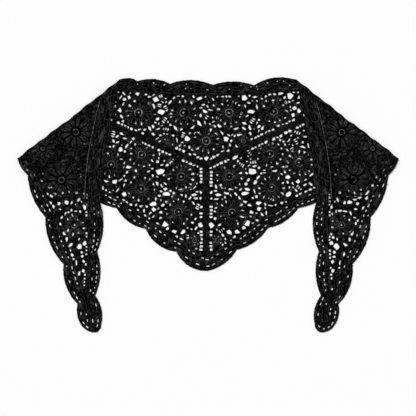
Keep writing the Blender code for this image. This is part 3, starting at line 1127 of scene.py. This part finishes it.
def room_round(centre, size, others):
    """The room round a flower, at angles: up to its neighbours' share, a seam or a tape."""
    angles = np.linspace(-math.pi, math.pi, FINE_TURN)
    room = np.full(len(angles), MOST_ROOM)
    for other, _, other_size in others:
        away = other - centre
        share = abs(away) * size / (size + other_size)
        facing = np.cos(angles - np.angle(away))
        room = np.minimum(room, np.where(facing > 0.1, share / np.maximum(facing, 0.1), MOST_ROOM))
    for walls, clear in ((field, 0.0), (np.concatenate(tape_middles), TAPE / 2 + 6.5)):
        away = walls - centre
        away = away[np.abs(away) < MOST_ROOM]
        if len(away):
            aside = np.abs(np.angle(away[None, :] * np.exp(-1j * angles[:, None])))
            distance = np.where(aside < math.radians(3.5), np.abs(away)[None, :], MOST_ROOM)
            room = np.minimum(room, distance.min(axis=1) - clear)
    return angles, np.maximum(room, 6.0)


def squeezed(angles, size, room):
    """How much a flower is drawn in at each angle, as a share, to fit the room round it."""
    return np.minimum(1, (np.interp(angles, *room) - 0.5) / (FLOWER_OUT * size))


def flower_places(centre, size, room):
    """A function from radius and angle to a place, squeezed where the flower is crowded."""
    wander = [dice.uniform(-0.8, 0.8) for _ in range(5)]

    def place(radius, angle):
        angle = np.asarray(angle, float)
        turned = (angle + math.pi) % (2 * math.pi) - math.pi
        share = np.asarray(radius) / FLOWER_OUT
        uneven = sum(step * np.sin((k + 2) * angle + 9 * step) for k, step in enumerate(wander))
        full = radius * (1 - (1 - squeezed(turned, size, room)) * share) + uneven * share
        return centre + size * full * np.exp(1j * angle)

    return place


wide_sites = []
for x, y, long, wide, slant in WIDE_ALONE:
    wide_sites.append(Site(complex(x, y), long, wide, math.radians(slant), WIDE_BAR, CROOKED))
for out, y, long, wide, slant in WIDE_PAIRS:
    for side in (1, -1):
        # The two of a pair aren't quite alike in place
        across = FORK.real + side * out + dice.uniform(-0.8, 0.8)
        place = complex(across, y + dice.uniform(-0.8, 0.8))
        turn = side * math.radians(slant)
        wide_sites.append(Site(place, long, wide, turn, WIDE_BAR, CROOKED))
for x, y, long, wide, slant in WIDE_ON_ENDS:
    step = cmath.exp(1j * math.radians(slant))
    on_right = unfolded([x + 1j * y - step, x + 1j * y + step])
    for here, there in (on_right, mirrored(on_right)):
        turn = float(np.angle(there - here))
        wide_sites.append(Site(complex(here + there) / 2, long, wide, turn, WIDE_BAR, CROOKED))


def clear_of_wide(places, room):
    """Whether each place leaves this much room round all the widest openings."""
    clear = np.ones(len(places), bool)
    for site in wide_sites:
        turned = (places - site.middle) * cmath.exp(-1j * site.slant)
        along, across = turned.real / (site.long + room), turned.imag / (site.wide + room)
        clear &= along**2 + across**2 > 1
    return clear


def petal_loop(place, angle, base, tip, half_width):
    """One petal, a loop like a drop: narrow at its base and round at its tip."""
    turn = np.linspace(-1, 1, 31)
    out = 1 - turn**2
    radius = base + (tip - base) * out
    width = half_width * (0.3 + 0.7 * np.minimum(1, out / 0.62))
    width = width * np.sqrt(1 - np.clip((out - 0.62) / 0.38, 0, 1) ** 2)
    return place(radius, angle + np.sign(turn) * width / radius)


def flower(place, petals, size, on_end):
    """A flower's threads, and the sites of the openings in it. The ends' are fuller."""
    round_angles = np.linspace(0, 2 * math.pi, FINE_TURN)
    made = []
    middle = complex(place(dice.uniform(0.0, 0.9), dice.uniform(0, 6)))
    sites = [Site(middle, dice.uniform(1.0, 1.6), dice.uniform(0.9, 1.4), 0.0, 0.9, CROOKED)]
    small = size < SMALL
    turn = dice.uniform(0, 2 * math.pi)
    heart = np.full(FINE_TURN, 3.0 if small else HEART)
    made.append(thread(place(heart, round_angles + turn), THREAD))
    # The ring round the eye has come away in places, and on the ends it is small
    eye = EYE * (1.3 if small else 0.62 if on_end and petals > 9 else 1)
    arc = round_angles[: dice.choice((46, 60, FINE_TURN))] + dice.uniform(0, 6)
    eyes.append(thread(place(np.full(len(arc), eye), arc), 1.0 if petals == 12 and size == 1 else 0.7))
    openness = dice.uniform(0.6, 0.95)
    slim = dice.choice((0.0, 0.2, 0.6))
    for petal in range(petals):
        angle = turn + 2 * math.pi * (petal + dice.uniform(-0.12, 0.12)) / petals
        tip = PETAL_TIP + dice.uniform(-1.2, 0.8)
        base = PETAL_BASE + (3 if small else 0)
        fullness = dice.uniform(0.52, 0.6) if on_end else dice.uniform(0.6, 0.7)
        half_width = fullness * 16 * math.pi / petals
        petal_threads.append(thread(petal_loop(place, angle, base, tip, half_width), PETAL_THREAD))
        # A second loop inside the first one fills the petal
        if on_end:
            within = petal_loop(place, angle, base + 2.0, tip - 2.4, half_width * 0.4)
            petal_threads.append(thread(within, PETAL_THREAD))
        # This one never opens, because its bars fill it. It keeps others off the petal
        sites.append(Site(complex(place(14.0, angle)), 2.0 * size, 1.4 * size, angle, 9.0, CROOKED))
        between = angle + math.pi / petals
        if dice.random() < openness:
            long = dice.uniform(1.6, 2.8) if small else dice.uniform(1.2, 2.8) * (1 + slim)
            wide = dice.uniform(1.1, 1.9) if small else dice.uniform(1.1, 2.5) * (1 - slim / 2)
            middle = complex(place(dice.uniform(17.4, 21.2) - 2 * slim, between))
            slant = between + dice.uniform(-0.6, 0.6)
            sites.append(Site(middle, long, wide, slant, 0.7, CROOKED))
        if dice.random() < 0.3 and not small:
            middle = complex(place(dice.uniform(11.5, 15.5), between))
            long, wide = dice.uniform(0.9, 1.8), dice.uniform(0.7, 1.2)
            sites.append(Site(middle, long, wide, between, 0.8, CROOKED))
    kept = clear_of_wide(np.array([site.middle for site in sites]), 1.8)
    sites = [site for site, free in zip(sites, kept) if free]
    # The inner row of the outer ring has a slight lobe over each petal
    lobed = RING_ROWS[0] + 0.5 * np.cos(petals * (round_angles - turn))
    made += [thread(place(radius, round_angles)) for radius in (lobed, RING_ROWS[1])]
    return made, sites


def clearance(places):
    """How far each place is from the nearest flower ring or tape edge."""
    clear = np.full(len(places), MOST_ROOM)
    for (centre, _, size), room in zip(flowers, rooms):
        away = places - centre
        edge = FLOWER_OUT * size * squeezed(np.angle(away), size, room)
        clear = np.minimum(clear, np.abs(away) - edge)
    return np.minimum(clear, from_tape(places) - TAPE / 2)


rooms = []
field_threads = []
petal_threads = []
eyes = []
sites = list(wide_sites)
for index, (centre, petals, size) in enumerate(flowers):
    room = room_round(centre, size, flowers[:index] + flowers[index + 1 :])
    rooms.append(room)
    on_end = bool(from_fold(np.array([centre]))[0].imag > 0)
    threads, flower_sites = flower(flower_places(centre, size, room), petals, size, on_end)
    field_threads += threads
    sites += flower_sites


def take(places, apart, longs, wides, slants, chance, shape=CROOKED):
    """Adds a site at each place that is far enough from those there already."""
    places, slants = np.array(places), np.array(slants)[: len(places)]
    free = clear_of_wide(places, sum(longs + wides) / 4 + 1.0)
    places, slants = places[free], slants[free]
    taken = np.array([site.middle for site in sites])
    reach = np.array([(site.long + site.wide) * 0.4 for site in sites])
    for place, slant in zip(places, slants):
        long, wide = dice.uniform(*longs), dice.uniform(*wides)
        room = np.abs(taken - place) - reach - (long + wide) * 0.4
        if room.min() > apart and dice.random() < chance:
            bar = dice.uniform(0.65, 0.95)
            sites.append(Site(complex(place), long, wide, float(slant), bar, shape))
            taken = np.append(taken, place)
            reach = np.append(reach, (long + wide) * 0.4)


def ladder(line, side, clear, pitch, longs, wides, chance, astray, shape):
    """Openings along a line, on one side of it."""
    along = evenly(line, pitch)
    along = along + np.array([dice.uniform(-astray, astray) for _ in along])
    direction = np.gradient(along)
    normal = 1j * side * direction / np.abs(direction)
    places = along + normal * (clear + 0.5 + wides[1])
    free = (clearance(places) > 0.8) & inside(places, field)
    take(places[free], 0.9, longs, wides, np.angle(direction)[free], chance, shape)


def sheaf(place, turn):
    """The narrow gaps between a sheaf of long stitches, where there is room for them."""
    across = cmath.exp(1j * turn) * dice.uniform(3.0, 4.0)
    middles = place + across * np.array([-1.0, 0.0, 1.0])
    free = (clearance(middles) > 0.9) & inside(middles, field)
    long = dice.uniform(2.2, 3.6)
    for middle in middles[free]:
        others = [site for site in sites if site.middle not in middles]
        away = np.abs(np.array([site.middle for site in others]) - middle)
        if (away - np.array([site.long for site in others])).min() > 2.6:
            wide = dice.uniform(0.8, 1.3)
            sites.append(Site(complex(middle), long, wide, turn + math.pi / 2, 0.7, CROOKED))


def arcs_round(centre, size, room):
    """Openings that lie round a flower, the long ones curved with its ring."""
    turn = 0.0
    angles = []
    longs = []
    while turn < 2 * math.pi - 0.1:
        long = dice.choice(ARC_LENGTHS)
        step = (2 * long + 1.6) / (FLOWER_OUT * size + 3.0)
        angles.append((turn + step / 2) % (2 * math.pi) - math.pi)
        longs.append(long)
        turn += step
    angles = np.array(angles)
    edge = FLOWER_OUT * size * squeezed(angles, size, room)
    reach = edge + np.array([dice.uniform(2.2, 4.4) for _ in angles])
    places = centre + reach * np.exp(1j * angles)
    free = (clearance(places) > 1.8) & inside(places, field)
    for place, long, angle in zip(places[free], np.array(longs)[free], angles[free]):
        curved = long > 3 or size < 0.5
        wides = (1.0, 1.6) if curved else (1.2, 2.4)
        slant = angle + math.pi / 2 + (0 if curved else dice.uniform(-0.5, 0.5))
        take([place], 1.3, (long, long * 1.2), wides, [slant], 0.62, CURVED if curved else CROOKED)


for high, low in SPINE_STRETCHES:
    for side in (1, -1):
        ladder(FORK.real + 1j * np.array([high, low]), side, *SPINE_LADDER)

# Places thrown at random over the ground, clear of the flowers, the seams and the tape
darts = [complex(dice.uniform(-420, 420), dice.uniform(-110, 330)) for _ in range(TRIES)]
darts = np.array(darts)
darts = darts[inside(darts, field)]
darts = darts[(clearance(darts) > 1.4) & (np.abs(darts - nearest_on(field, darts)) > 1.8)]
beside_spine = (np.abs(darts.real - FORK.real) < TAPE / 2 + 8.0) & (darts.imag < FORK.imag)
darts = darts[~beside_spine & (from_tape(darts) > TAPE / 2 + 3.0)]
# The folded ends have few more than their widest ones
few = from_fold(darts).imag > -BEND_MIDDLE
darts = darts[~few | (np.array([dice.random() for _ in darts]) < 0.04)]
turns = [dice.uniform(0, math.pi) for _ in darts]

for place, turn in zip(darts[:SHEAVES], turns):
    sheaf(place, turn)
for arm in tape_middles[:2]:
    for side in (1, -1):
        ladder(arm, side, *ARM_LADDER)
past_fold = from_fold(top_seam).imag > 0
left_run, middle_run, right_run = np.split(top_seam, np.flatnonzero(np.diff(past_fold)) + 1)
ladder(middle_run, -1, *TOP_LADDER)
ladder(left_run, -1, *END_LADDER)
ladder(right_run, -1, *END_LADDER)
ladder(hem_seam, -1, *HEM_LADDER)
for (centre, _, size), room in zip(flowers, rooms):
    arcs_round(centre, size, room)
for start, stop, apart, longs, wides, chance in SCATTERED:
    take(darts[start:stop], apart, longs, wides, turns, chance)

tape_walls = np.concatenate([evenly(line, 0.6) for line in tape_edges])
openings = openings_at(sites, ((evenly(field, 1.0), 0.9), (tape_walls, 0.9)))
lips = np.concatenate([lip for _, lip in openings])
starts = np.cumsum([0] + [len(lip) for _, lip in openings])
clear_lips = inside(lips, field) & (from_tape(lips) > TAPE_HOLD + 0.2) & ~near_bend(lips)
# Where the folded ends lie double, the two layers were pressed close and show few openings
edge_middles = np.array([edge.mean() for edge, _ in openings])
folded_over = BEND_MIDDLE + from_fold(edge_middles).imag > 0
pressed = folded_over & (lay(edge_middles, CLOTH / 2)[1] > 30)
openings = [
    pair
    for pair, here, there, close in zip(openings, starts, starts[1:], pressed)
    if clear_lips[here:there].all() and not (close and dice.random() < 0.7)
]

# The seam between the back and the corners under the folds, as the CAD has it
UNDER_TOP = 142.0 + 200.0j
UNDER_FOOT = 181.0 + 14.0j
UNDER_BOW = 12.0


def field_of(places):
    """Which of the CAD's lace fields each place belongs to."""
    side = np.where(places.real < 0, "left_", "right_")
    down = (UNDER_TOP.imag - places.imag) / (UNDER_TOP.imag - UNDER_FOOT.imag)
    bow = UNDER_BOW * down * (1 - down)
    seam = UNDER_TOP.real + (UNDER_FOOT.real - UNDER_TOP.real) * down + bow
    past = BEND_MIDDLE + from_fold(places).imag
    kind = np.where(past > BEND_RUN, "end_lace", "under_corner")
    aside = places.real - FORK.real
    slopes = [LEFT_ARM.imag / LEFT_ARM.real, RIGHT_ARM.imag / RIGHT_ARM.real]
    arm_y = FORK.imag + aside * np.where(aside < 0, *slopes)
    back_side = np.where(aside < 0, "left_back_lace", "right_back_lace")
    back = np.where(places.imag > arm_y, "back_top_lace", back_side)
    return np.where(np.abs(places.real) < seam, back, np.char.add(side, kind))


def stand_up(places):
    """How much the ground's stitches stand up at each place: hardly, inside a flower, where the ground is
    painted near black as shade under the petals.
    """
    found = np.ones(len(places))
    for (centre, _, size), room in zip(flowers, rooms):
        away = places - centre
        share = np.abs(away) / (FLOWER_OUT * size * squeezed(np.angle(away), size, room))
        found = np.minimum(found, np.clip((share - 0.8) / 0.1, 0.0, 1))
    return found


def by_field(threads):
    """The threads of each lace field, cut where they pass from one to the next."""
    found = {}
    for points, radii, heights in threads:
        names = field_of(points)
        for run in np.split(np.arange(len(points)), np.flatnonzero(names[1:] != names[:-1]) + 1):
            run = np.arange(run[0], min(run[-1] + 2, len(points)))
            if len(run) > 1:
                cut = (points[run], radii[run], heights[run])
                found.setdefault(str(names[run[0]]), []).append(cut)
    return found


def cut_size(places, faces, holes):
    """The smallest rectangle that a piece can be cut from, width first, and its flat area."""
    used = places[np.unique(faces)]
    best = (1e9, 0, 0)
    for turn in np.radians(np.arange(0, 180, 3)):
        turned = used * np.exp(1j * turn)
        wide, high = np.ptp(turned.real), np.ptp(turned.imag)
        best = min(best, (wide * high, *sorted((wide, high))))
    a, b, c = places[faces].T
    area = np.abs((np.conj(b - a) * (c - a)).imag).sum() / 2 + sum(map(flat_area, holes))
    return (best[1] * MM, best[2] * MM), float(area) * MM**2


places, faces, owner, first = close_work(field, openings, tape_edges)
faces = faces[from_tape(places[faces].mean(axis=1)) > TAPE_HOLD - 0.05]
# An opening isn't cut by a seam: the triangles between its lip and others go with it
face_names = field_of(places[faces].mean(axis=1))
opening_names = field_of(np.array([edge.mean() for edge, _ in openings]))
for k in range(3):
    here, there = owner[faces[:, k]], owner[faces[:, (k + 1) % 3]]
    on_ring = (here >= 0) & (here == there)
    face_names[on_ring] = opening_names[here[on_ring]]
# The petals are of a fatter, softer thread, painted paler as a sheen
petal_sheen_cotton = cotton(
    "black_soft_cotton_painted_sheen", two_plies, ("#161617", "#464648", "#565658"), roughness=0.6
)
# The rings round the eyes stand proudest, so they are painted grey as a highlight, and are a little glossy
eye_highlight_cotton = cotton(
    "black_cotton_painted_highlight_grey", two_plies, ("#4c4c4e", "#949496", "#b4b4b6"), roughness=0.5, shine=0.2
)
# A fine pale cord lies beside the inner seam of each folded end, from its top down to the hem
PALE_CORD = (173 + 166j, 180 + 138j, 188 + 100j, 192.5 + 72j, 195.5 + 44j, 197.5 + 10j)
for side in (1, -1):
    cord = evenly(eased(unfolded(PALE_CORD)), 1.6)
    cord = cord if side > 0 else -np.conj(cord)
    points, radii, heights = thread(cord, radius=0.4, height=0.75)
    number = np.arange(len(points))
    points = points + 0.4 * np.sin(number / 3.3) + 0.3 * np.sin(number / 7)
    # The cord is drawn in the eye rings' painted-highlight grey
    eyes.append((points, radii, heights))

rings_of = by_field(field_threads)
others_of = (("petals", by_field(petal_threads), petal_sheen_cotton), ("eyes", by_field(eyes), eye_highlight_cotton))
for name in sorted(rings_of):
    wanted = set(np.flatnonzero(opening_names == name).tolist())
    chosen = faces[face_names == name]
    work = (places, chosen, owner, first)
    parts = [worked("threads", rings_of[name], thread_cotton)]
    parts.append(shell("ground", close_cotton, work, openings, wanted, stand_up))
    parts += [worked(kind, found[name], look) for kind, found, look in others_of if name in found]
    piece = fold_up(name.replace("under_corner", "corner_lace").replace("_lace", "_field"), parts)
    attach(piece, "root")
    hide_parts(name)
    flat_size, area = cut_size(places, chosen, [openings[number][1] for number in wanted])

# ---------------------------------------------------------------------------------------
# Floor, light and camera
# ---------------------------------------------------------------------------------------
bpy.ops.mesh.primitive_plane_add(size=8.0, location=(0, 0, -0.0002))
floor = bpy.context.object
floor.name = "floor"
paper = bpy.data.materials.new("white_paper")
paper.use_nodes = True
paper.node_tree.nodes["Principled BSDF"].inputs["Base Color"].default_value = linear("#f8f8f8")
paper.node_tree.nodes["Principled BSDF"].inputs["Roughness"].default_value = 0.9
floor.data.materials.append(paper)
floor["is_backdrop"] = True

world = bpy.data.worlds.new("studio")
world.use_nodes = True
world.node_tree.nodes["Background"].inputs["Color"].default_value = (1, 1, 1, 1)
world.node_tree.nodes["Background"].inputs["Strength"].default_value = 0.35
bpy.context.scene.world = world

# A broad soft light from above and the upper left
sun = bpy.data.lights.new("key", "SUN")
sun.energy = 2.58
sun.angle = math.radians(30)
key = bpy.data.objects.new("key", sun)
key.rotation_euler = (math.radians(-24), math.radians(-21), 0)
bpy.context.scene.collection.objects.link(key)

# The camera looks straight down
camera_data = bpy.data.cameras.new("overhead")
camera_data.lens = 100
camera_data.sensor_width = 36
camera = bpy.data.objects.new("overhead", camera_data)
camera.location = (0.0, -0.0048, 1.849)
bpy.context.scene.collection.objects.link(camera)
bpy.context.scene.camera = camera
bpy.context.scene.view_settings.view_transform = "Standard"

low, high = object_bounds()
